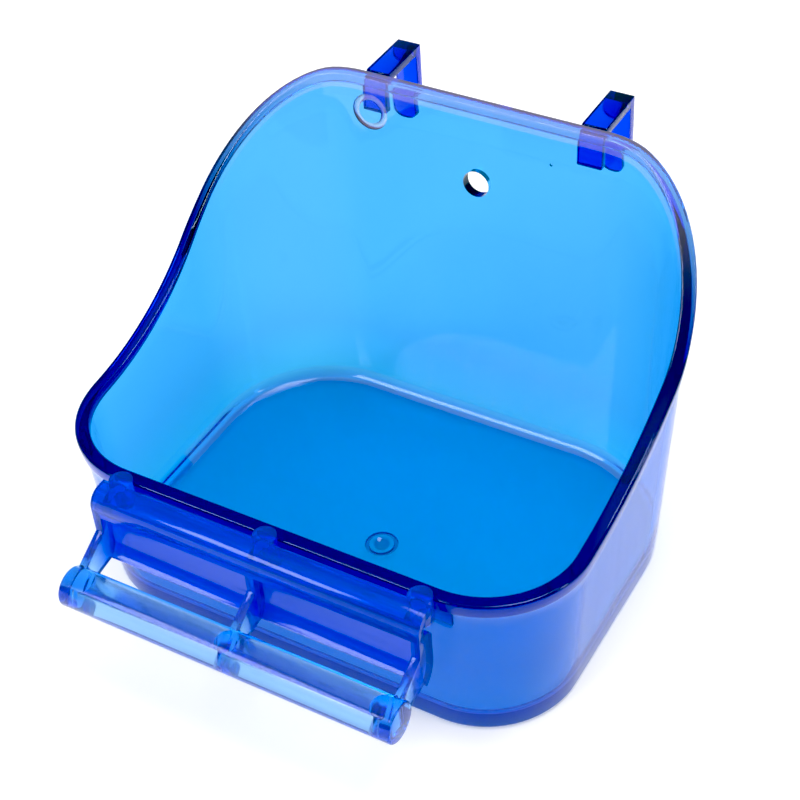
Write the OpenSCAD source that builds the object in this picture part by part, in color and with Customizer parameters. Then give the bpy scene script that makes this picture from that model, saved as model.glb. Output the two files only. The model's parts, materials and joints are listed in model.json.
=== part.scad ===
// Hanging cage cup with a high back, two wire hooks behind it and a clip-on perch in front.
// Origin: centre of the base's underside. +X right, +Y towards the cage wall, +Z up.

/* [Cup] */
// Width of the base across the side walls
base_w = 116.8; // [100:0.2:140]
// Depth of the base from the front wall to the back wall
base_d = 88.6; // [76:0.2:110]
// Height of the low front of the rim
front_h = 42; // [38:0.5:50]
// Height of the high back of the rim
back_h = 90.5; // [85:0.5:110]
// Thickness of the walls
wall = 2.4; // [1.8:0.1:3]
// Thickness of the floor
floor_t = 2.6; // [2:0.1:4]
// Angle of the sloping part of the rim, seen from the side
rim_slope = 45.9; // [40:0.1:52]
// Radius of the sweep from the flat front of the rim to the slope
sweep_r = 74; // [50:1:80]
// How far the rim bead stands out from the wall
bead_out = 0.9; // [0.5:0.1:1.5]
// Height of the rim bead
bead_h = 3.2; // [2.5:0.1:4]

/* [Wall hole] */
// Diameter of the hole in the back wall
hole_d = 6.5; // [4:0.1:9]
// Height of the hole above the base
hole_z = 70; // [60:1:76]

/* [Hooks] */
// Distance from the middle to the centre of each hook
hook_x = 27; // [15:0.5:28]
// Width of a hook
hook_w = 6; // [5:0.5:8]
// Thickness of a hook's arm and legs
hook_t = 2.2; // [1.6:0.1:3]
// Reach of a hook behind the origin
hook_reach = 65.5; // [60:0.5:72]
// Height of the lower end of a hook's rear leg
hook_leg_z = 72.5; // [64:0.5:80]

/* [Perch] */
// Length of the bracket that clips onto the front of the rim
bracket_l = 79.4; // [70:0.2:84]
// Length of the bar
bar_l = 81; // [72:0.5:90]
// Diameter of the bar
bar_d = 9.2; // [8:0.2:10]
// Thickness of an arm
arm_t = 2; // [1.6:0.1:3]
// Distance from the middle to each outer arm
arm_x = 38.7; // [34:0.1:39]

/* [Hidden] */

// Draft: how far each wall leans outwards for each millimetre of height
side_lean = 0.06;
front_lean = 0.04;
back_lean = 0.06;
// Corner radii in plan, at the base and at the height of the back rim
front_r_low = 21.6;
front_r_high = 23.6;
back_r_low = 30;
back_r_high = 33.4;
// Rounded lower edge outside, and the fillet where the walls meet the floor inside
base_edge = 1.4;
floor_fillet = 3.6;
edge_steps = 4;
// Small rounding of the bead's outer edges
bead_edge = 0.6;
// Steps round each corner and along each side wall
corner_steps = 12;
side_steps = 14;
// Where the front of the rim starts to rise, and the radius that rounds the slope into the back
sweep_y = -29;
crest_r = 4;
far = 200;

// Position of the back wall's outer face at a height, and of the front wall's
function back_y(z) = base_d / 2 + back_lean * z;
function front_y(z) = -base_d / 2 - front_lean * z;

// Points of an arc round [cx, cy]
function arc(cx, cy, r, start, sweep, steps) =
    [for (i = [0:steps]) [cx + r * cos(start + sweep * i / steps), cy + r * sin(start + sweep * i / steps)]];

// Stations run round the right half of the plan: front corner, side wall, back corner
half_count = 2 * corner_steps + side_steps + 1;
ring_count = 2 * half_count;

// Station k of the right half at a height, moved outwards by grow
function half_station(k, z, grow) =
    let (
        hx = base_w / 2 + side_lean * z + grow,
        rf = front_r_low + (front_r_high - front_r_low) * z / back_h + grow,
        rb = back_r_low + (back_r_high - back_r_low) * z / back_h + grow,
        yf = front_y(z) - grow + rf,
        yb = back_y(z) + grow - rb,
        front_a = 90 * k / corner_steps - 90,
        back_a = 90 * (k - corner_steps - side_steps) / corner_steps
    )
    k <= corner_steps ? [hx - rf + rf * cos(front_a), yf + rf * sin(front_a)] :
    k < corner_steps + side_steps ? [hx, yf + (yb - yf) * (k - corner_steps) / side_steps] :
    [hx - rb + rb * cos(back_a), yb + rb * sin(back_a)];

// Line of the rim seen from the side: flat front, sweep, slope, crest and flat back
sweep_end_y = sweep_y + sweep_r * sin(rim_slope);
sweep_end_z = front_h + sweep_r * (1 - cos(rim_slope));
slope_end_y = sweep_end_y + (back_h - sweep_end_z) / tan(rim_slope);
crest_y0 = slope_end_y - crest_r * tan(rim_slope / 2) * cos(rim_slope);
crest_y1 = slope_end_y + crest_r * tan(rim_slope / 2);
function rim_z(y) =
    y < sweep_y ? front_h :
    y < sweep_end_y ? front_h + sweep_r - sqrt(sweep_r ^ 2 - (y - sweep_y) ^ 2) :
    y < crest_y0 ? sweep_end_z + (y - sweep_end_y) * tan(rim_slope) :
    y < crest_y1 ? back_h - crest_r + sqrt(crest_r ^ 2 - (crest_y1 - y) ^ 2) :
    back_h;

// Height of the rim over station k of the leaning wall, found by repeated substitution
function settle(k, z, tries) =
    tries == 0 ? z : settle(k, rim_z(half_station(k, z, 0)[1]), tries - 1);
rim_heights = [for (k = [0:half_count - 1]) settle(k, front_h, 8)];

// A closed ring of points. follow_rim adds the rim's height to z at each station
function ring(follow_rim, z, grow) =
    let (right = [for (k = [0:half_count - 1])
        let (h = z + (follow_rim ? rim_heights[k] : 0), p = half_station(k, h, grow))
        [p[0], p[1], h]])
    concat(right, [for (k = [half_count - 1:-1:0]) [-right[k][0], right[k][1], right[k][2]]]);

// Closed solid through a list of rings, capped at both ends
module skin(rings) {
    n = ring_count;
    last = len(rings) - 1;
    points = [for (r = rings) for (p = r) p];
    low_cap = [[for (i = [0:n - 1]) i]];
    high_cap = [[for (i = [n - 1:-1:0]) last * n + i]];
    sides = [for (k = [0:last - 1]) for (i = [0:n - 1])
        let (a = k * n + i, b = k * n + (i + 1) % n)
        for (f = [[a, a + n, b], [b, a + n, b + n]]) f];
    polyhedron(points = points, faces = concat(low_cap, high_cap, sides));
}

// From the middle of the underside, up the outside, over the bead and down to the floor inside
function cup_rings() = concat(
    [for (i = [0:edge_steps])
        let (a = 90 * i / edge_steps)
        ring(false, base_edge * (1 - cos(a)), -base_edge * (1 - sin(a)))],
    [
        ring(true, -bead_h, 0),
        ring(true, -bead_h + bead_edge / 2, bead_out),
        ring(true, -bead_edge, bead_out),
        ring(true, 0, bead_out - bead_edge),
        ring(true, 0, -wall)
    ],
    [for (i = [edge_steps:-1:0])
        let (a = 90 * i / edge_steps)
        ring(false, floor_t + floor_fillet * (1 - cos(a)), -wall - floor_fillet * (1 - sin(a)))]
);

// Raised pad on the front wall, under the bead, that the perch's clips rest against
pad_l = 84;
pad_z = [35, front_h - bead_h + bead_edge / 4];
pad_out = 0.3;

module front_pad() {
    y_in = wall / 2;
    side_view(0, pad_l)
        polygon([
            [front_y(pad_z[0]) - pad_out, pad_z[0]],
            [front_y(pad_z[1]) - pad_out, pad_z[1]],
            [front_y(pad_z[1]) + y_in, pad_z[1]],
            [front_y(pad_z[0]) + y_in, pad_z[0]]
        ]);
}

// Axis of the wall hole stands square to the leaning back wall
module wall_hole() {
    depth = 8 * wall;
    translate([0, back_y(hole_z), hole_z])
        rotate([-90 - atan(back_lean), 0, 0])
            cylinder(d = hole_d, h = depth, center = true, $fn = 64);
}

// Lays a side view (Y to the right, Z up) across the cup, centred on x
module side_view(x, width) {
    translate([x - width / 2, 0, 0])
        rotate([90, 0, 90])
            linear_extrude(width)
                children();
}

module cup() {
    color([0.15, 0.55, 0.95, 0.6])
        difference() {
            union() {
                skin(cup_rings());
                front_pad();
            }
            wall_hole();
        }
}

// Hooks: an upside-down U whose short front leg is fixed to the back wall
hook_top = back_h - 0.2;
hook_pad_z = 81;
hook_corner = 2.6;
bead_gap = 0.1;

module hook_outline() {
    under_bead = back_h - bead_h - bead_gap;
    bead_y = back_y(back_h) + bead_out + bead_gap;
    pad_y = back_y(under_bead) + hook_t;
    leg_y = hook_reach - hook_t;
    polygon([
        [back_y(hook_pad_z), hook_pad_z],
        [back_y(under_bead), under_bead],
        [bead_y, under_bead],
        [bead_y, hook_top],
        [hook_reach, hook_top],
        [hook_reach, hook_leg_z],
        [leg_y, hook_leg_z],
        [leg_y, hook_top - hook_t],
        [pad_y, hook_top - hook_t],
        [pad_y, hook_pad_z]
    ]);
}

// Front view of a hook: square at the top, rounded at the end of the leg
module hook_front_view() {
    half = hook_w / 2;
    low = hook_leg_z + hook_corner;
    polygon(concat(
        [[half, hook_top], [-half, hook_top]],
        arc(hook_corner - half, low, hook_corner, 180, 90, edge_steps * 2),
        arc(half - hook_corner, low, hook_corner, 270, 90, edge_steps * 2)
    ));
}

module hook(x) {
    color([0.02, 0.1, 0.8, 0.8])
        intersection() {
            side_view(x, hook_w)
                hook_outline();
            translate([x, far, 0])
                rotate([90, 0, 0])
                    linear_extrude(far)
                        hook_front_view();
        }
}

// Perch: bracket, arms and bar
sheet_t = 2;
bracket_top = 43.3;
bracket_back_y = -49.5;
roll_r = 3.6;
face_y = -55;
crease_y = -52.2;
crease_z = 35.6;
bend_rise = 1.8;
crease_ease = 0.6;
rear_bend_rise = 2.6;
rear_crease_rise = 0.4;
lip_r = 4.5;
lip_turn = 58;
lip_centre_z = 28.475;
arm_root_z = 33;
arm_tip_z = 28.2;
bar_y = -65.1;
bar_z = 25.1;
arm_under_root_z = 24.6;
arm_under_tip_z = 23.2;
arm_tip_y = -63.2;

// Front face of the bracket from the top edge to the lower lip
function bracket_face() = concat(
    [[bracket_back_y, bracket_top]],
    arc(face_y + roll_r, bracket_top - roll_r, roll_r, 90, 90, 8),
    [
        [face_y, crease_z + bend_rise],
        [crease_y - crease_ease, crease_z + crease_ease / 2],
        [crease_y, crease_z - crease_ease]
    ],
    arc(crease_y - lip_r, lip_centre_z, lip_r, 0, -lip_turn, 6)
);

// The same line moved back by the sheet's thickness
function bracket_rear() = concat(
    [[bracket_back_y, bracket_top - sheet_t]],
    arc(face_y + roll_r, bracket_top - roll_r, roll_r - sheet_t, 90, 90, 8),
    [[face_y + sheet_t, crease_z + rear_bend_rise], [crease_y + sheet_t, crease_z + rear_crease_rise]],
    arc(crease_y - lip_r, lip_centre_z, lip_r + sheet_t, 0, -lip_turn, 6)
);

module bracket_sheet() {
    rear = bracket_rear();
    side_view(0, bracket_l)
        polygon(concat(bracket_face(), [for (i = [len(rear) - 1:-1:0]) rear[i]]));
}

// Root plate behind each arm, from the sheet out to the face
plate_top_z = 37.5;
plate_rear_y = -51.2;
plate_rear_low_z = 26.2;
plate_foot = [-54.2, 24.7];

module root_plate(x) {
    side_view(x, arm_t)
        polygon([
            [face_y, plate_top_z],
            [plate_rear_y, plate_top_z],
            [plate_rear_y, plate_rear_low_z],
            plate_foot,
            [face_y, arm_under_root_z]
        ]);
}

// Clips: round studs that fork over and under the rim bead
clip_x = 36.3;
clip_y = -48;
clip_r = 2.6;
clip_low = 36.4;
clip_gap = 0.2;
web_t = 2;
web_root_y = -52.7;
margin = 1;

module clip(x) {
    difference() {
        union() {
            translate([x, clip_y, clip_low])
                cylinder(r = clip_r, h = bracket_top - clip_low, $fn = 48);
            translate([x - web_t / 2, web_root_y, clip_low])
                cube([web_t, clip_y - web_root_y, bracket_top - clip_low - sheet_t / 2]);
        }
        // Slot for the bead
        translate([x - 2 * clip_r, front_y(front_h) - bead_out - clip_gap, front_h - bead_h - clip_gap])
            cube([4 * clip_r, far, bead_h + 2 * clip_gap]);
        // Clearance in front of the wall and its pad
        translate([x - 2 * clip_r, front_y(front_h) - pad_out - clip_gap, clip_low - margin])
            cube([4 * clip_r, far, front_h - bead_h - clip_low + margin]);
    }
}

module perch_bracket() {
    color([0.05, 0.25, 0.9, 0.7])
        union() {
            bracket_sheet();
            for (x = [-arm_x, 0, arm_x])
                root_plate(x);
            for (x = [-clip_x, 0, clip_x])
                clip(x);
        }
}

module bar_round() {
    translate([0, bar_y, bar_z])
        rotate([0, 90, 0])
            cylinder(d = bar_d, h = bar_l, center = true, $fn = 64);
}

module perch_arm(x) {
    color([0.1, 0.4, 0.95, 0.7])
        difference() {
            side_view(x, arm_t)
                polygon([
                    [face_y, arm_root_z],
                    [arm_tip_y, arm_tip_z],
                    [bar_y, bar_z],
                    [arm_tip_y, arm_under_tip_z],
                    [face_y, arm_under_root_z]
                ]);
            bar_round();
        }
}

// The bar is cored out from below between solid ends, with a round post under each arm
bar_skin = 2.2;
bar_end = 3.1;
post_x = 36.5;
post_bite = 0.05;
channel_w = bar_d - 2 * bar_skin;
channel_top = bar_z + bar_d / 2 - bar_skin;

module bar_channel() {
    half = bar_l / 2 - bar_end;
    translate([-half, bar_y - channel_w / 2, bar_z - bar_d])
        cube([2 * half, channel_w, channel_top - bar_z + bar_d]);
}

module bar_post(x) {
    translate([x, bar_y, bar_z - bar_d])
        cylinder(r = channel_w / 2 + post_bite, h = channel_top - bar_z + bar_d, $fn = 48);
}

module perch_bar() {
    color([0.3, 0.65, 0.98, 0.6])
        union() {
            difference() {
                bar_round();
                bar_channel();
            }
            intersection() {
                bar_round();
                for (x = [-post_x, 0, post_x])
                    bar_post(x);
            }
        }
}

cup();
hook(-hook_x);  // hook_left
hook(hook_x);  // hook_right
perch_bracket();
perch_arm(-arm_x);  // perch_arm_left
perch_arm(0);  // perch_arm_middle
perch_arm(arm_x);  // perch_arm_right
perch_bar();
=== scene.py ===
"""Looks of a hanging cage cup with a clip-on perch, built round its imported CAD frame.

Shapes are worked out in millimetres, in the frame's own axes, and scaled to metres when a mesh is made.
"""

import json
import math

import bmesh
import bpy
from mathutils import Matrix, Vector
from mathutils.kdtree import KDTree


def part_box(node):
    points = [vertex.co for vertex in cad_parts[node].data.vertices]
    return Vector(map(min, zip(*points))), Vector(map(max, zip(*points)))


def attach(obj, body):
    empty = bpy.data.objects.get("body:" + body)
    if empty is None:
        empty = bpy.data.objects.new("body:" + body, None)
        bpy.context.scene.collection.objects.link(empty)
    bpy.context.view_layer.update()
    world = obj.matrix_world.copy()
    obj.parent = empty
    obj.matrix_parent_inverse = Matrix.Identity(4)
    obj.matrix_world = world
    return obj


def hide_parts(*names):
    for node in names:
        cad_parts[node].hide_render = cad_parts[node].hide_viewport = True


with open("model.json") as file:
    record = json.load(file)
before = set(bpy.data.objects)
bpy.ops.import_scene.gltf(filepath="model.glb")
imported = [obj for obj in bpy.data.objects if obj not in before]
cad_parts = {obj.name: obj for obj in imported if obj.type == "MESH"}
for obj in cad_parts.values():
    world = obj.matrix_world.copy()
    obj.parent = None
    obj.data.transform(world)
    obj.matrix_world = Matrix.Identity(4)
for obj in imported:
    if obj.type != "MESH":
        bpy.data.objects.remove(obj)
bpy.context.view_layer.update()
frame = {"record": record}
MM = 0.001


# ---------------------------------------------------------------- camera, floor and light

CAMERA_AT = Vector((0.1596, -0.24395, 0.29995))
CAMERA_AZIMUTH = 32.43
CAMERA_ELEVATION = 41.6
CAMERA_ROLL = 4.34
CAMERA_LENS = 79.2
SENSOR_W = 36
NEAR_CLIP = 0.01

FLOOR_SIZE = 8
FLOOR_DROP = 0.0002
FLOOR_GREY = 0.93
FLOOR_GLOW = 0.32

# The dome's strength near the horizon and overhead, and the heights (0 to 1) it changes between
DOME_DIM = 0.25
DOME_BRIGHT = 0.7
DOME_CHANGE = (0.8, 0.93)
# Each softbox: its place, what it points at, its width and height, its power in watts
SOFTBOXES = {
    "softbox_top": ((0.22, 0.05, 1), (0, 0, 0), (0.5, 0.4), 3),
    "softbox_front": ((-0.5, -0.82, 0.8), (0, 0, 0.03), (0.7, 0.4), 5.4),
    "softbox_side": ((0.9, 0.1, 0.5), (0, 0, 0.03), (0.1, 0.5), 1),
}

# The print's contrast: what comes out as full black and as paper white
BLACK_LEVEL = (0.04, 0.018, 0.012)
WHITE_LEVEL = (0.82, 0.82, 0.82)
# Light crosses many clear walls here, and would stop as black at the usual count
CLEAR_BOUNCES = 40
GLOSSY_BOUNCES = 16


def make_camera():
    """Looks down at the cup from its front right, a little tilted."""
    azimuth, elevation, roll = (math.radians(a) for a in (CAMERA_AZIMUTH, CAMERA_ELEVATION, CAMERA_ROLL))
    forward = Vector((
        -math.sin(azimuth) * math.cos(elevation),
        math.cos(azimuth) * math.cos(elevation),
        -math.sin(elevation),
    ))
    level_right = Vector((math.cos(azimuth), math.sin(azimuth), 0))
    level_down = forward.cross(level_right)
    right = math.cos(roll) * level_right + math.sin(roll) * level_down
    down = -math.sin(roll) * level_right + math.cos(roll) * level_down
    data = bpy.data.cameras.new("camera")
    data.lens = CAMERA_LENS
    data.sensor_width = SENSOR_W
    data.clip_start = NEAR_CLIP
    camera = bpy.data.objects.new("camera", data)
    turn = Matrix((right, -down, -forward)).transposed().to_4x4()
    camera.matrix_world = Matrix.Translation(CAMERA_AT) @ turn
    bpy.context.scene.collection.objects.link(camera)
    bpy.context.scene.camera = camera


def make_floor():
    """A plain pale floor, just under the cup."""
    bpy.ops.mesh.primitive_plane_add(size=FLOOR_SIZE, location=(0, 0, -FLOOR_DROP))
    floor = bpy.context.object
    floor.name = "floor"
    material = bpy.data.materials.new("pale_floor")
    material.use_nodes = True
    shader = material.node_tree.nodes["Principled BSDF"]
    shader.inputs["Base Color"].default_value = (FLOOR_GREY, FLOOR_GREY, FLOOR_GREY, 1)
    shader.inputs["Roughness"].default_value = 0.9
    shader.inputs["Specular IOR Level"].default_value = 0.1
    shader.inputs["Emission Color"].default_value = (1, 1, 1, 1)
    shader.inputs["Emission Strength"].default_value = FLOOR_GLOW
    floor.data.materials.append(material)


def area_light(name, at, target, size, power):
    """A flat rectangular light at one point, facing another."""
    data = bpy.data.lights.new(name, "AREA")
    data.shape = "RECTANGLE"
    data.size, data.size_y = size
    data.energy = power
    light = bpy.data.objects.new(name, data)
    light.location = at
    light.rotation_euler = (Vector(target) - Vector(at)).to_track_quat("-Z", "Y").to_euler()
    bpy.context.scene.collection.objects.link(light)


def make_dome():
    """Light from all round: bright overhead and dim near the horizon."""
    world = bpy.data.worlds.new("studio")
    world.use_nodes = True
    bpy.context.scene.world = world
    nodes, links = world.node_tree.nodes, world.node_tree.links
    coordinates = nodes.new("ShaderNodeTexCoord")
    split = nodes.new("ShaderNodeSeparateXYZ")
    ramp = nodes.new("ShaderNodeMapRange")
    ramp.interpolation_type = "SMOOTHSTEP"
    ramp.inputs["From Min"].default_value, ramp.inputs["From Max"].default_value = DOME_CHANGE
    ramp.inputs["To Min"].default_value = DOME_DIM
    ramp.inputs["To Max"].default_value = DOME_BRIGHT
    nodes["Background"].inputs["Color"].default_value = (1, 1, 1, 1)
    links.new(coordinates.outputs["Generated"], split.inputs[0])
    links.new(split.outputs["Z"], ramp.inputs["Value"])
    links.new(ramp.outputs[0], nodes["Background"].inputs["Strength"])


def make_light():
    """The dome, three softboxes, the print's contrast and how often light may bounce."""
    make_dome()
    for name, (at, target, size, power) in SOFTBOXES.items():
        area_light(name, at, target, size, power)
    view = bpy.context.scene.view_settings
    view.view_transform = "Standard"
    view.use_curve_mapping = True
    view.curve_mapping.black_level = BLACK_LEVEL
    view.curve_mapping.white_level = WHITE_LEVEL
    view.curve_mapping.update()
    bpy.context.scene.cycles.max_bounces = CLEAR_BOUNCES
    bpy.context.scene.cycles.transmission_bounces = CLEAR_BOUNCES
    bpy.context.scene.cycles.glossy_bounces = GLOSSY_BOUNCES


# ---------------------------------------------------------------- mesh helpers


def to_object(name, bm):
    """Makes an object from a mesh drawn in millimetres, with its normals outwards."""
    bmesh.ops.recalc_face_normals(bm, faces=bm.faces)
    mesh = bpy.data.meshes.new(name)
    bm.to_mesh(mesh)
    bm.free()
    mesh.transform(Matrix.Scale(MM, 4))
    made = bpy.data.objects.new(name, mesh)
    bpy.context.scene.collection.objects.link(made)
    return made


def apply_modifiers(piece):
    """Writes a piece's modifiers into its mesh."""
    graph = bpy.context.evaluated_depsgraph_get()
    mesh = bpy.data.meshes.new_from_object(piece.evaluated_get(graph))
    piece.modifiers.clear()
    piece.data = mesh


def combine(piece, other, operation):
    """Joins, cuts or intersects a piece with another, which is used up."""
    modifier = piece.modifiers.new("combine", "BOOLEAN")
    modifier.operation = operation
    modifier.solver = "EXACT"
    modifier.object = other
    apply_modifiers(piece)
    bpy.data.objects.remove(other)


def round_edges(piece, width, segments=3, sharper_than=40):
    """Rounds a piece's sharp edges, as a mould leaves them."""
    bevel = piece.modifiers.new("rounding", "BEVEL")
    bevel.width = width * MM
    bevel.segments = segments
    bevel.limit_method = "ANGLE"
    bevel.angle_limit = math.radians(sharper_than)
    bevel.use_clamp_overlap = True
    apply_modifiers(piece)


def shade(piece, sharp=30):
    """Smooth shading that keeps flat faces flat."""
    piece.data.shade_smooth()
    piece.data.set_sharp_from_angle(angle=math.radians(sharp))


def arc(cx, cy, radius, start, sweep, steps):
    """Points on an arc, its angles in degrees."""
    angles = (math.radians(start + sweep * i / steps) for i in range(steps + 1))
    return [(cx + radius * math.cos(a), cy + radius * math.sin(a)) for a in angles]


def side_prism(name, x, width, outline):
    """A side view of (y, z) points, made width thick and centred on x."""
    bm = bmesh.new()
    near = [bm.verts.new((x - width / 2, y, z)) for y, z in outline]
    far = [bm.verts.new((x + width / 2, y, z)) for y, z in outline]
    bm.faces.new(near)
    bm.faces.new(reversed(far))
    for i in range(len(outline)):
        j = (i + 1) % len(outline)
        bm.faces.new((near[i], near[j], far[j], far[i]))
    return to_object(name, bm)


def lathe(name, profile, steps=64):
    """A closed solid turned about Z from (radius, height) points that start and end on the axis."""
    bm = bmesh.new()
    rows = []
    for radius, height in profile:
        if radius == 0:
            rows.append([bm.verts.new((0, 0, height))] * steps)
        else:
            turns = (2 * math.pi * i / steps for i in range(steps))
            rows.append([bm.verts.new((radius * math.cos(a), radius * math.sin(a), height)) for a in turns])
    for low, high in zip(rows, rows[1:]):
        for i in range(steps):
            j = (i + 1) % steps
            corners = list(dict.fromkeys((low[i], low[j], high[j], high[i])))
            if len(corners) > 2:
                bm.faces.new(corners)
    return to_object(name, bm)


def place(piece, at, axis):
    """Moves a lathed piece so that its Z axis lies along axis through a point in millimetres."""
    turn = Vector(axis).to_track_quat("Z", "X").to_matrix().to_4x4()
    piece.data.transform(Matrix.Translation(Vector(at) * MM) @ turn)
    return piece


def ball(at, radius):
    """A round solid, for pits and dimples."""
    steps = 24
    turns = [math.pi * i / steps for i in range(1, steps)]
    side = [(radius * math.sin(a), -radius * math.cos(a)) for a in turns]
    return place(lathe("ball", [(0, -radius)] + side + [(0, radius)], 2 * steps), at, (0, 0, 1))


def box_solid(name, low, high):
    """A box between two corners."""
    bm = bmesh.new()
    bmesh.ops.create_cube(bm, size=1)
    middle = [(a + b) / 2 for a, b in zip(low, high)]
    for vert in bm.verts:
        vert.co = Vector([m + c * (b - a) for m, c, a, b in zip(middle, vert.co, low, high)])
    return to_object(name, bm)


# ---------------------------------------------------------------- the cup's shape

BASE_W = 116.8
BASE_D = 88.6
FRONT_H = 42
BACK_H = 90.5
WALL = 2.4
FLOOR = 2.6
SIDE_LEAN = 0.06
FRONT_LEAN = 0.04
BACK_LEAN = 0.06
FRONT_CORNER = (21.6, 23.6)
BACK_CORNER = (30, 33.4)
BASE_EDGE = 1.4
FLOOR_FILLET = 3.6
BEAD_OUT = 0.86
BEAD_H = 3.2
BEAD_ROUNDS = (0.35, 0.75, 0.55)
# The band under the rim marked with its painted shade, or its painted sheen on the high back: outside and on
# the back, and on the inside
RIM_BAND = 3.3
INNER_BAND = 0.9
BAND_FADE = 0.3
PAD_OUT = 0.3
SWEEP_Y = -29
SWEEP_R = 74
SLOPE = math.radians(45.9)
CREST_R = 4

WALL_STEPS = 10
CORNER_STEPS = 28
SIDE_STEPS = 40
FRONT_STEPS = 12
BACK_STEPS = 10
CAP_SHARES = (0.08, 0.35, 0.6, 0.82, 0.95)


def back_y(z):
    return BASE_D / 2 + BACK_LEAN * z


def front_y(z):
    return -BASE_D / 2 - FRONT_LEAN * z


def rim_height(y):
    """The rim seen from the side: flat front, sweep, slope, crest and flat back."""
    sweep_end = SWEEP_Y + SWEEP_R * math.sin(SLOPE)
    sweep_top = FRONT_H + SWEEP_R * (1 - math.cos(SLOPE))
    slope_end = sweep_end + (BACK_H - sweep_top) / math.tan(SLOPE)
    tangent = CREST_R * math.tan(SLOPE / 2)
    crest_start = slope_end - tangent * math.cos(SLOPE)
    crest_end = slope_end + tangent
    if y < SWEEP_Y:
        return FRONT_H
    if y < sweep_end:
        return FRONT_H + SWEEP_R - math.sqrt(SWEEP_R**2 - (y - SWEEP_Y) ** 2)
    if y < crest_start:
        return sweep_top + (y - sweep_end) * math.tan(SLOPE)
    if y < crest_end:
        return BACK_H - CREST_R + math.sqrt(CREST_R**2 - (crest_end - y) ** 2)
    return BACK_H


def half_plan():
    """What each station round the right half of the plan is on, and how far along it."""
    stations = [("front", i / FRONT_STEPS) for i in range(FRONT_STEPS)]
    stations += [("front_corner", i / CORNER_STEPS) for i in range(CORNER_STEPS)]
    stations += [("side", i / SIDE_STEPS) for i in range(SIDE_STEPS)]
    stations += [("back_corner", i / CORNER_STEPS) for i in range(CORNER_STEPS)]
    return stations + [("back", i / BACK_STEPS) for i in range(BACK_STEPS + 1)]


def plan_point(station, z, grow):
    """A station's place at a height, moved outwards by grow."""
    part, t = station
    up = z / BACK_H
    half = BASE_W / 2 + SIDE_LEAN * z + grow
    front_r = FRONT_CORNER[0] + (FRONT_CORNER[1] - FRONT_CORNER[0]) * up + grow
    back_r = BACK_CORNER[0] + (BACK_CORNER[1] - BACK_CORNER[0]) * up + grow
    front = front_y(z) - grow
    back = back_y(z) + grow
    turn = math.radians(90 * t)
    if part == "front":
        return (half - front_r) * t, front
    if part == "front_corner":
        return half - front_r + front_r * math.sin(turn), front + front_r - front_r * math.cos(turn)
    if part == "side":
        return half, front + front_r + (back - back_r - front - front_r) * t
    if part == "back_corner":
        return half - back_r + back_r * math.cos(turn), back - back_r + back_r * math.sin(turn)
    return (half - back_r) * (1 - t), back


STATIONS = half_plan()


def settled_rim(station):
    """The rim's height over a station of the leaning wall, found by repeated substitution."""
    z = FRONT_H
    for _ in range(12):
        z = rim_height(plan_point(station, z, 0)[1])
    return z


RIM = [settled_rim(station) for station in STATIONS]


def cup_ring(height_of, grow):
    """A closed ring of points, its height at each station given by height_of(rim height there)."""
    right = []
    for station, rim in zip(STATIONS, RIM):
        z = height_of(rim)
        x, y = plan_point(station, z, grow)
        right.append((x, y, z))
    left = [(-x, y, z) for x, y, z in reversed(right[1:-1])]
    return right + left


def shrunk(ring, share):
    """A flat ring drawn in towards the middle."""
    return [(x * share, y * share, z) for x, y, z in ring]


def level(z):
    return lambda rim: z


def below_rim(drop):
    return lambda rim: rim - drop


def between(low, drop, share):
    """A share of the way up from one height to a line below the rim."""
    return lambda rim: low + (rim - drop - low) * share


def cup_rings():
    """From the middle of the underside, up the outside, over the bead and down to the floor inside."""
    underside = cup_ring(level(0), -BASE_EDGE)
    rings = [shrunk(underside, share) for share in CAP_SHARES]
    rings += [
        cup_ring(level(BASE_EDGE + z), -BASE_EDGE + y)
        for y, z in arc(0, 0, BASE_EDGE, -90, 90, 6)
    ]
    rings += [cup_ring(between(BASE_EDGE, BEAD_H, i / WALL_STEPS), 0) for i in range(1, WALL_STEPS)]
    rings += [cup_ring(below_rim(BEAD_H + 0.25), 0), cup_ring(below_rim(BEAD_H), 0.12)]
    low_r, top_r, inner_r = BEAD_ROUNDS
    rings += [
        cup_ring(below_rim(BEAD_H - low_r - z), BEAD_OUT - low_r + y)
        for y, z in arc(0, 0, low_r, -90, 90, 3)
    ]
    rings += [
        cup_ring(below_rim(top_r - z), BEAD_OUT - top_r + y)
        for y, z in arc(0, 0, top_r, 0, 90, 6)
    ]
    rings += [
        cup_ring(below_rim(inner_r - z), -WALL + inner_r + y)
        for y, z in arc(0, 0, inner_r, 90, 90, 5)
    ]
    top = FLOOR + FLOOR_FILLET
    band_end = RIM_BAND + BAND_FADE
    drops = (INNER_BAND, INNER_BAND + BAND_FADE, RIM_BAND - 0.7, RIM_BAND, band_end)
    rings += [cup_ring(below_rim(drop), -WALL) for drop in drops]
    rings += [
        cup_ring(between(top, band_end, 1 - i / WALL_STEPS), -WALL)
        for i in range(1, WALL_STEPS)
    ]
    rings += [
        cup_ring(level(top + z), -WALL - FLOOR_FILLET + y)
        for y, z in arc(0, 0, FLOOR_FILLET, 0, -90, 10)
    ]
    return rings + [shrunk(rings[-1], share) for share in reversed(CAP_SHARES)]


def loft(name, rings):
    """A closed skin through a list of rings, with a flat cap on the first and the last."""
    bm = bmesh.new()
    rows = [[bm.verts.new(point) for point in ring] for ring in rings]
    count = len(rows[0])
    for low, high in zip(rows, rows[1:]):
        for i in range(count):
            j = (i + 1) % count
            bm.faces.new((low[i], low[j], high[j], high[i]))
    bm.faces.new(reversed(rows[0]))
    bm.faces.new(rows[-1])
    return to_object(name, bm)


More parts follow.
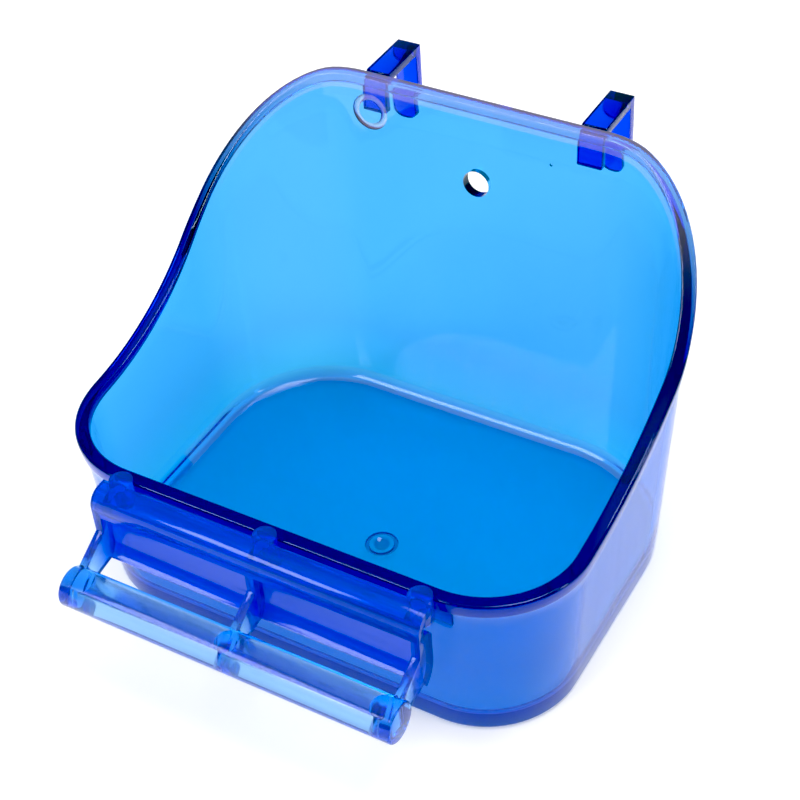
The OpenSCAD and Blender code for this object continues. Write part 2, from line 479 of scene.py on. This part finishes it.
def front_pad():
    """The low pad under the front bead that the perch's clips rest against."""
    length, low = 84, 35
    high = FRONT_H - BEAD_H + 0.1
    inside = WALL / 2
    return side_prism("front_pad", 0, length, [
        (front_y(low) - PAD_OUT, low),
        (front_y(high) - PAD_OUT, high),
        (front_y(high) + inside, high),
        (front_y(low) + inside, low),
    ])


def wall_hole_cutter():
    """A cylinder where the record's mount puts the hole, longer than the wall is thick."""
    mount = next(m for m in frame["record"]["mounts"] if m["name"] == "wall_hole")
    radius, half = mount["dims"]["r_mm"], mount["dims"]["length_mm"]
    profile = [(0, -half), (radius, -half), (radius, half), (0, half)]
    return place(lathe("hole_cutter", profile), Vector(mount["pos_m"]) / MM, mount["axis"])


def ring_groove(at, axis, radius, width):
    """A shallow half-round groove in a circle, such as an ejector pin or a gate leaves."""
    steps, section = 64, 12
    bm = bmesh.new()
    rows = []
    for i in range(steps):
        a = 2 * math.pi * i / steps
        points = arc(radius, 0, width / 2, 0, 360 - 360 / section, section - 1)
        rows.append([bm.verts.new((r * math.cos(a), r * math.sin(a), z)) for r, z in points])
    for here, after in zip(rows, rows[1:] + rows[:1]):
        for i in range(section):
            j = (i + 1) % section
            bm.faces.new((here[i], here[j], after[j], after[i]))
    return place(to_object("groove_cutter", bm), at, axis)


# What the mould leaves: an ejector pin's ring on the back wall, a gate's ring and dimple, and a bubble
EJECTOR_X = -27.3
EJECTOR_Z = 81.8
EJECTOR_R = 3.7
EJECTOR_GROOVE = 1.6
GATE = (1, -7, FLOOR)
GATE_RING_R = 3.4
GATE_GROOVE = 1.0
DIMPLE_R = 4.2
DIMPLE_DEPTH = 0.6
BUBBLE_X = 18.7
BUBBLE_Z = 80.4
BUBBLE_R = 0.4

# Two values from 0 to 1 on each point of a mesh, that its material reads by these names: painted shade, and
# frost with painted sheen
PAINTED_SHADE = "painted_shade"
FROST_AND_SHEEN = "frost_and_sheen"
# Rim heights between which the rim turns from painted shade to painted sheen
RIM_FADE = (62, 90)
MARK_DEPTH = 0.12
# Painted shade in the gate's ring groove and dimple
GATE_SHADE = 0.7
EJECTOR_FROST = 0.8
# Frost on the high back rim that paints a pale sheen on it: painted reflection
BACK_RIM_SHEEN = 0.5
# Frost on the floor fillet at the rear and sides that paints a highlight along it
FILLET_HIGHLIGHT = 0.3
FILLET_HIGHLIGHT_Y = -5
FILLET_HIGHLIGHT_CLIMB = (0.05, 0.9)


def rim_shares(rings):
    """Every ring point with its share of painted shade on the rim's low front and sides, and of painted
    sheen on its high back.
    """
    count = len(STATIONS)
    crest = max(range(len(rings)), key=lambda k: rings[k][0][2])
    for k, ring in enumerate(rings):
        shade_band = INNER_BAND if k > crest else RIM_BAND
        for i, (x, y, z) in enumerate(ring):
            rim = RIM[i if i < count else 2 * count - 2 - i]
            faded = min(max((rim - RIM_FADE[0]) / (RIM_FADE[1] - RIM_FADE[0]), 0), 1)
            # Painted shade under the low rim; painted sheen on the high back
            deep_shade = 1 if rim - z < shade_band + 0.01 else 0
            pale = 1 if rim - z < RIM_BAND + 0.01 else 0
            yield (x, y, z), deep_shade * (1 - faded), pale * faded


def mark_points(piece, name, share_at):
    """Writes a value between 0 and 1 on each point of a mesh, from its place in millimetres."""
    marks = piece.data.attributes.new(name, "FLOAT", "POINT")
    for vert, mark in zip(piece.data.vertices, marks.data):
        mark.value = share_at(vert.co / MM)


def is_inside(point):
    """Whether a point near the floor is on the bowl's side of the walls."""
    half = BASE_W / 2 + SIDE_LEAN * point.z - WALL / 2
    return abs(point.x) < half and point.y < back_y(point.z) - WALL / 2


def mark_cup(cup, rings, ejector):
    """Paints shade on the low rim and in the gate mark; paints sheen on the back rim and a highlight on the
    fillet as frost; frosts the ejector's ring.
    """
    shares = list(rim_shares(rings))
    tree = KDTree(len(shares))
    for i, share in enumerate(shares):
        tree.insert(share[0], i)
    tree.balance()

    # Painted shade on the low rim and in the gate's groove and dimple
    def deep_shade(point):
        in_floor = FLOOR / 2 < point.z < FLOOR - MARK_DEPTH
        in_gate = (point - Vector(GATE)).length < GATE_RING_R + GATE_GROOVE / 2 and in_floor
        return GATE_SHADE if in_gate else shares[tree.find(point)[1]][1]

    # Frost on the ejector's ring; painted highlight on the fillet and painted sheen on the back rim, both as
    # frost
    def frost_and_sheen(point):
        in_wall = MARK_DEPTH < point.y - back_y(point.z) + WALL < WALL / 2
        reach = EJECTOR_R + EJECTOR_GROOVE / 2 + 0.1
        if (point - Vector(ejector)).length < reach and in_wall:
            return EJECTOR_FROST
        climb = (point.z - FLOOR) / FLOOR_FILLET
        on_fillet = FILLET_HIGHLIGHT_CLIMB[0] < climb < FILLET_HIGHLIGHT_CLIMB[1]
        if on_fillet and point.y > FILLET_HIGHLIGHT_Y and is_inside(point):
            return FILLET_HIGHLIGHT
        return BACK_RIM_SHEEN * shares[tree.find(point)[1]][2]

    mark_points(cup, PAINTED_SHADE, deep_shade)
    mark_points(cup, FROST_AND_SHEEN, frost_and_sheen)


def make_cup():
    """The cup's moulding, with its hole and the mould's marks."""
    rings = cup_rings()
    cup = loft("cup_moulding", rings)
    combine(cup, front_pad(), "UNION")
    combine(cup, wall_hole_cutter(), "DIFFERENCE")
    into_bowl = (0, -1, BACK_LEAN)
    ejector = (EJECTOR_X, back_y(EJECTOR_Z) - WALL, EJECTOR_Z)
    combine(cup, ring_groove(ejector, into_bowl, EJECTOR_R, EJECTOR_GROOVE), "DIFFERENCE")
    bubble = (BUBBLE_X, back_y(BUBBLE_Z) - WALL, BUBBLE_Z)
    combine(cup, ball(bubble, BUBBLE_R), "DIFFERENCE")
    combine(cup, ring_groove(GATE, (0, 0, 1), GATE_RING_R, GATE_GROOVE), "DIFFERENCE")
    over_gate = (GATE[0], GATE[1], FLOOR + DIMPLE_R - DIMPLE_DEPTH)
    combine(cup, ball(over_gate, DIMPLE_R), "DIFFERENCE")
    shade(cup)
    mark_cup(cup, rings, ejector)
    return cup


# ---------------------------------------------------------------- the hooks

HOOK_W = 6
HOOK_T = 2.2
HOOK_PAD_Z = 81
HOOK_CORNER = 2.6
HOOK_CLEAR = 0.1
HOOK_EDGE = 0.3
WELD_GAP = 0.06


def make_hook(node):
    """An upside-down U behind the back wall, its short front leg against it."""
    low, high = (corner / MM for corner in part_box(node))
    x, rear, top, foot = (low.x + high.x) / 2, high.y, high.z, low.z
    under_bead = BACK_H - BEAD_H - HOOK_CLEAR
    bead = back_y(BACK_H) + BEAD_OUT + HOOK_CLEAR
    pad = back_y(under_bead) + HOOK_T
    leg = rear - HOOK_T
    hook = side_prism(f"{node}_moulding", x, HOOK_W, [
        (back_y(HOOK_PAD_Z) + WELD_GAP, HOOK_PAD_Z),
        (back_y(under_bead) + WELD_GAP, under_bead),
        (bead, under_bead),
        (bead, top),
        (rear, top),
        (rear, foot),
        (leg, foot),
        (leg, top - HOOK_T),
        (pad, top - HOOK_T),
        (pad, HOOK_PAD_Z),
    ])
    bm = bmesh.new()
    bm.from_mesh(hook.data)
    foot_edges = [
        edge for edge in bm.edges
        if all(abs(v.co.z / MM - foot) < 0.01 for v in edge.verts)
        and abs(edge.verts[0].co.x - edge.verts[1].co.x) < 1e-6
    ]
    bmesh.ops.bevel(bm, geom=foot_edges, offset=HOOK_CORNER * MM, segments=8, profile=0.5, affect="EDGES")
    bm.to_mesh(hook.data)
    bm.free()
    round_edges(hook, HOOK_EDGE)
    shade(hook)
    return hook


# ---------------------------------------------------------------- the perch

SHEET = 2
BRACKET_L = 79.4
BRACKET_TOP = 43.3
BRACKET_BACK = -49.5
ROLL_R = 3.6
FACE = -55
CREASE_Y = -52.2
CREASE_Z = 35.6
BEND_RISE = 1.8
CREASE_EASE = 0.6
REAR_BEND_RISE = 2.6
REAR_CREASE_RISE = 0.4
LIP_R = 4.5
LIP_TURN = 58
LIP_CENTRE_Z = 28.475
PLATE_TOP_Z = 37.5
PLATE_REAR_Y = -51.2
PLATE_REAR_LOW_Z = 26.2
PLATE_FOOT = (-54.2, 24.7)
ARM_T = 2
ARM_X = 38.7
ARM_ROOT_Z = 33
ARM_UNDER_Z = 24.6
ARM_TIP = (-63.2, 28.2)
ARM_UNDER_TIP = (-63.2, 23.2)
CLIP_X = 36.3
CLIP_Y = -48
CLIP_R = 2.6
CLIP_LOW = 36.4
CLIP_GAP = 0.2
WEB_T = 2
WEB_ROOT_Y = -52.7
BAR_SKIN = 2.2
BAR_END = 3.1
BAR_EDGE = 0.5
POST_X = 36.5
POST_BITE = 0.05
PERCH_EDGE = 0.16
# The bracket is painted deep blue and the bar a little, though both are one moulding: painted shade
BAR_SHADE = 0.12
BRACKET_FROST = 0.45
BAR_FROST = 0.08


def bracket_line(inwards):
    """The bracket's face seen from the side, or its rear when inwards is the sheet's thickness."""
    lip = arc(CREASE_Y - LIP_R, LIP_CENTRE_Z, LIP_R + inwards, 0, -LIP_TURN, 14)
    roll = arc(FACE + ROLL_R, BRACKET_TOP - ROLL_R, ROLL_R - inwards, 90, 90, 16)
    start = [(BRACKET_BACK, BRACKET_TOP - inwards)]
    if inwards:
        rear_bend = [
            (FACE + inwards, CREASE_Z + REAR_BEND_RISE),
            (CREASE_Y + inwards, CREASE_Z + REAR_CREASE_RISE),
        ]
        return start + roll + rear_bend + lip
    crease = [
        (FACE, CREASE_Z + BEND_RISE),
        (CREASE_Y - CREASE_EASE, CREASE_Z + CREASE_EASE / 2),
        (CREASE_Y, CREASE_Z - CREASE_EASE),
    ]
    return start + roll + crease + lip


def root_plate(x):
    """The plate behind an arm's root, across the bracket's curve."""
    return side_prism("root_plate", x, ARM_T, [
        (FACE, PLATE_TOP_Z),
        (PLATE_REAR_Y, PLATE_TOP_Z),
        (PLATE_REAR_Y, PLATE_REAR_LOW_Z),
        PLATE_FOOT,
        (FACE, ARM_UNDER_Z),
    ])


def clip(x):
    """A round stud that forks over and under the rim bead."""
    stud = lathe("clip", [(0, CLIP_LOW), (CLIP_R, CLIP_LOW), (CLIP_R, BRACKET_TOP), (0, BRACKET_TOP)], 48)
    stud.data.transform(Matrix.Translation(Vector((x, CLIP_Y, 0)) * MM))
    web_low = (x - WEB_T / 2, WEB_ROOT_Y, CLIP_LOW)
    web_high = (x + WEB_T / 2, CLIP_Y, BRACKET_TOP - SHEET / 2)
    combine(stud, box_solid("web", web_low, web_high), "UNION")
    bead_face = front_y(FRONT_H) - BEAD_OUT - CLIP_GAP
    slot_low = (x - 2 * CLIP_R, bead_face, FRONT_H - BEAD_H - CLIP_GAP)
    slot_high = (x + 2 * CLIP_R, 0, FRONT_H + CLIP_GAP)
    combine(stud, box_solid("slot", slot_low, slot_high), "DIFFERENCE")
    wall_face = front_y(FRONT_H) - PAD_OUT - CLIP_GAP
    clear_low = (x - 2 * CLIP_R, wall_face, CLIP_LOW - 1)
    clear_high = (x + 2 * CLIP_R, 0, FRONT_H - BEAD_H)
    combine(stud, box_solid("clearance", clear_low, clear_high), "DIFFERENCE")
    return stud


def arm(x, bar_y, bar_z):
    """One arm from the bracket's face to inside the bar."""
    root = FACE + 0.4
    return side_prism("arm", x, ARM_T, [
        (root, ARM_ROOT_Z),
        (FACE, ARM_ROOT_Z),
        ARM_TIP,
        (bar_y, bar_z + 1),
        (bar_y, bar_z - 1),
        ARM_UNDER_TIP,
        (FACE, ARM_UNDER_Z),
        (root, ARM_UNDER_Z),
    ])


def make_bar():
    """A round bar, cored out from below between solid ends, with a post under each arm."""
    low, high = (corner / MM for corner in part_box("perch_bar"))
    middle, radius, half = (low + high) / 2, (high.z - low.z) / 2, high.x
    edge = BAR_EDGE
    profile = [(0, -half)] + [(radius - edge + y, -half + edge + x) for x, y in arc(0, 0, edge, 180, -90, 4)]
    profile += [(radius - edge + y, half - edge + x) for x, y in arc(0, 0, edge, 90, -90, 4)] + [(0, half)]
    bar = lathe("perch_moulding", profile, 96)
    place(bar, (0, middle.y, middle.z), (1, 0, 0))
    channel = radius - BAR_SKIN
    core_low = (-half + BAR_END, middle.y - channel, low.z - 1)
    core_high = (half - BAR_END, middle.y + channel, high.z - BAR_SKIN)
    core = box_solid("core", core_low, core_high)
    for x in (-POST_X, 0, POST_X):
        post_r, foot = channel + POST_BITE, low.z - 2
        post = lathe("post", [(0, foot), (post_r, foot), (post_r, high.z), (0, high.z)], 48)
        post.data.transform(Matrix.Translation(Vector((x, middle.y, 0)) * MM))
        combine(core, post, "DIFFERENCE")
    combine(bar, core, "DIFFERENCE")
    return bar, middle


def in_bracket(point):
    """Whether a point of the perch is behind the bracket's face, and not on the arms or bar."""
    return point.y > FACE - 0.5


def make_perch():
    """The whole perch as the one moulding that it is."""
    perch, bar = make_bar()
    face, rear = bracket_line(0), bracket_line(SHEET)
    combine(perch, side_prism("sheet", 0, BRACKET_L, face + rear[::-1]), "UNION")
    for x in (-ARM_X, 0, ARM_X):
        combine(perch, arm(x, bar.y, bar.z), "UNION")
        combine(perch, root_plate(x), "UNION")
    for x in (-CLIP_X, 0, CLIP_X):
        combine(perch, clip(x), "UNION")
    round_edges(perch, PERCH_EDGE, 2)
    shade(perch)
    # Painted shade: full on the bracket, a little on the bar
    mark_points(perch, PAINTED_SHADE, lambda point: 1 if in_bracket(point) else BAR_SHADE)
    mark_points(perch, FROST_AND_SHEEN, lambda point: BRACKET_FROST if in_bracket(point) else BAR_FROST)
    return perch


# ---------------------------------------------------------------- materials

# Flow marks run up the walls, so their noise is drawn out in height
FLOW_SCALE = 60
FLOW_STRETCH = (1, 1, 0.25)
FLOW_TINT = (0.93, 0.97, 1, 1)
# Heights in metres over which the floor's colour turns into the walls'
WALL_COLOUR_Z = (0.003, 0.02)
FROSTED_TRANSMISSION = 0.6
POLISH_SCALE = 220
# The underside is left matte by the mould, which lets light into the edge of the floor
UNDERSIDE_Z = 0.0004
UNDERSIDE_ROUGHNESS = 0.55
WAVINESS = 0.15
WAVE_HEIGHT = 0.0004
COAT = 0.2
COAT_ROUGHNESS = 0.05
REFLECTION_TINT = (0.58, 0.64, 1, 1)


def colour_mix(nodes, blend="MIX"):
    """A node that mixes two colours."""
    mix = nodes.new("ShaderNodeMix")
    mix.data_type = "RGBA"
    mix.blend_type = blend
    return mix


def noise(nodes, links, vector, scale, detail):
    """Noise between 0 and 1 over the part."""
    made = nodes.new("ShaderNodeTexNoise")
    made.inputs["Scale"].default_value = scale
    made.inputs["Detail"].default_value = detail
    links.new(vector, made.inputs["Vector"])
    return made.outputs["Fac"]


def mark(nodes, name):
    """A value that mark_points wrote on the mesh."""
    attribute = nodes.new("ShaderNodeAttribute")
    attribute.attribute_name = name
    return attribute.outputs["Fac"]


def mass_colour(nodes, links, flow, height, wall_tint, deep_shade):
    """Pale flow marks, painted shade where marked, and a little deeper up the walls than on the floor."""
    streaks = colour_mix(nodes)
    streaks.inputs["A"].default_value = FLOW_TINT
    streaks.inputs["B"].default_value = (1, 1, 1, 1)
    links.new(flow, streaks.inputs["Factor"])
    # Painted shade mixed into the colour where marked
    painted_shade_mix = colour_mix(nodes)
    painted_shade_mix.inputs["B"].default_value = (*deep_shade, 1)
    links.new(mark(nodes, PAINTED_SHADE), painted_shade_mix.inputs["Factor"])
    links.new(streaks.outputs["Result"], painted_shade_mix.inputs["A"])
    up_wall = nodes.new("ShaderNodeMapRange")
    up_wall.inputs["From Min"].default_value, up_wall.inputs["From Max"].default_value = WALL_COLOUR_Z
    walls = colour_mix(nodes, "MULTIPLY")
    walls.inputs["B"].default_value = (*wall_tint, 1)
    links.new(height, up_wall.inputs["Value"])
    links.new(up_wall.outputs[0], walls.inputs["Factor"])
    links.new(painted_shade_mix.outputs["Result"], walls.inputs["A"])
    return walls.outputs["Result"]


def clearness(nodes, links):
    """Frosted marks let less light through and catch more of it; on the back rim and the fillet they are
    painted sheen and highlight.
    """
    clear = nodes.new("ShaderNodeMapRange")
    clear.inputs["To Min"].default_value = 1
    clear.inputs["To Max"].default_value = FROSTED_TRANSMISSION
    links.new(mark(nodes, FROST_AND_SHEEN), clear.inputs["Value"])
    return clear.outputs[0]


def polish(nodes, links, place_in_part, height, polish_range):
    """Polish that varies a little from place to place, over a matte underside."""
    gloss = nodes.new("ShaderNodeMapRange")
    gloss.inputs["To Min"].default_value, gloss.inputs["To Max"].default_value = polish_range
    links.new(noise(nodes, links, place_in_part, POLISH_SCALE, 4), gloss.inputs["Value"])
    matte = nodes.new("ShaderNodeMapRange")
    matte.inputs["From Min"].default_value = UNDERSIDE_Z
    matte.inputs["From Max"].default_value = UNDERSIDE_Z / 2
    matte.inputs["To Max"].default_value = UNDERSIDE_ROUGHNESS
    roughness = nodes.new("ShaderNodeMath")
    roughness.operation = "MAXIMUM"
    links.new(height, matte.inputs["Value"])
    links.new(gloss.outputs[0], roughness.inputs[0])
    links.new(matte.outputs[0], roughness.inputs[1])
    return roughness.outputs[0]


def waviness(nodes, links, flow):
    """The mould's slight waviness."""
    bump = nodes.new("ShaderNodeBump")
    bump.inputs["Strength"].default_value = WAVINESS
    bump.inputs["Distance"].default_value = WAVE_HEIGHT
    links.new(flow, bump.inputs["Height"])
    return bump.outputs[0]


def moulded_plastic(name, tint, density, wall_tint, deep_shade, polish_range):
    """Clear plastic coloured in the mass: thin walls are light, and long ways through it are dark."""
    material = bpy.data.materials.new(name)
    material.use_nodes = True
    nodes, links = material.node_tree.nodes, material.node_tree.links
    shader = nodes["Principled BSDF"]
    shader.inputs["IOR"].default_value = 1.5
    shader.inputs["Coat Weight"].default_value = COAT
    shader.inputs["Coat Roughness"].default_value = COAT_ROUGHNESS
    shader.inputs["Specular Tint"].default_value = REFLECTION_TINT
    place_in_part = nodes.new("ShaderNodeTexCoord").outputs["Object"]
    split = nodes.new("ShaderNodeSeparateXYZ")
    links.new(place_in_part, split.inputs[0])
    height = split.outputs["Z"]
    stretch = nodes.new("ShaderNodeMapping")
    stretch.inputs["Scale"].default_value = FLOW_STRETCH
    links.new(place_in_part, stretch.inputs["Vector"])
    flow = noise(nodes, links, stretch.outputs[0], FLOW_SCALE, 3)
    colour = mass_colour(nodes, links, flow, height, wall_tint, deep_shade)
    roughness = polish(nodes, links, place_in_part, height, polish_range)
    links.new(colour, shader.inputs["Base Color"])
    links.new(clearness(nodes, links), shader.inputs["Transmission Weight"])
    links.new(roughness, shader.inputs["Roughness"])
    links.new(waviness(nodes, links, flow), shader.inputs["Normal"])
    mass = nodes.new("ShaderNodeVolumeAbsorption")
    mass.inputs["Color"].default_value = (*tint, 1)
    mass.inputs["Density"].default_value = density
    links.new(mass.outputs[0], nodes["Material Output"].inputs["Volume"])
    return material


# The colours of the painted shade: navy for the cup's and hooks' plastic, royal blue for the perch's
NAVY_SHADE = (0.03, 0.02, 0.3)
ROYAL_BLUE_SHADE = (0.04, 0.22, 1)
HIGH_POLISH = (0.015, 0.06)
SATIN_POLISH = (0.08, 0.15)


def cup_plastic():
    return moulded_plastic(
        "cup_plastic",
        tint=(0.22, 0.795, 0.991),
        density=1100,
        wall_tint=(1, 0.78, 0.9),
        deep_shade=NAVY_SHADE,
        polish_range=HIGH_POLISH,
    )


def hook_plastic():
    return moulded_plastic(
        "hook_plastic",
        tint=(0.01, 0.3, 0.94),
        density=1500,
        wall_tint=(1, 0.85, 1),
        deep_shade=NAVY_SHADE,
        polish_range=HIGH_POLISH,
    )


def perch_plastic():
    return moulded_plastic(
        "perch_plastic",
        tint=(0.02, 0.66, 0.985),
        density=380,
        wall_tint=(1, 0.96, 1),
        deep_shade=ROYAL_BLUE_SHADE,
        polish_range=SATIN_POLISH,
    )


# ---------------------------------------------------------------- putting it together


def finish_piece(piece, material, body, slot, *nodes):
    """Gives a piece its material, and says which body it rides and which nodes it stands for."""
    piece.data.materials.clear()
    piece.data.materials.append(material)
    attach(piece, body)
    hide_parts(*nodes)


make_camera()
make_floor()
make_light()
finish_piece(make_cup(), cup_plastic(), "cup_body", "cup_plastic", "cup")
HOOK_PLASTIC = hook_plastic()
for hook in ("hook_left", "hook_right"):
    finish_piece(make_hook(hook), HOOK_PLASTIC, "cup_body", "hook_plastic", hook)
PERCH_NODES = frame["record"]["behaviour"]["bodies"]["perch_body"]
finish_piece(make_perch(), perch_plastic(), "perch_body", "perch_plastic", *PERCH_NODES)
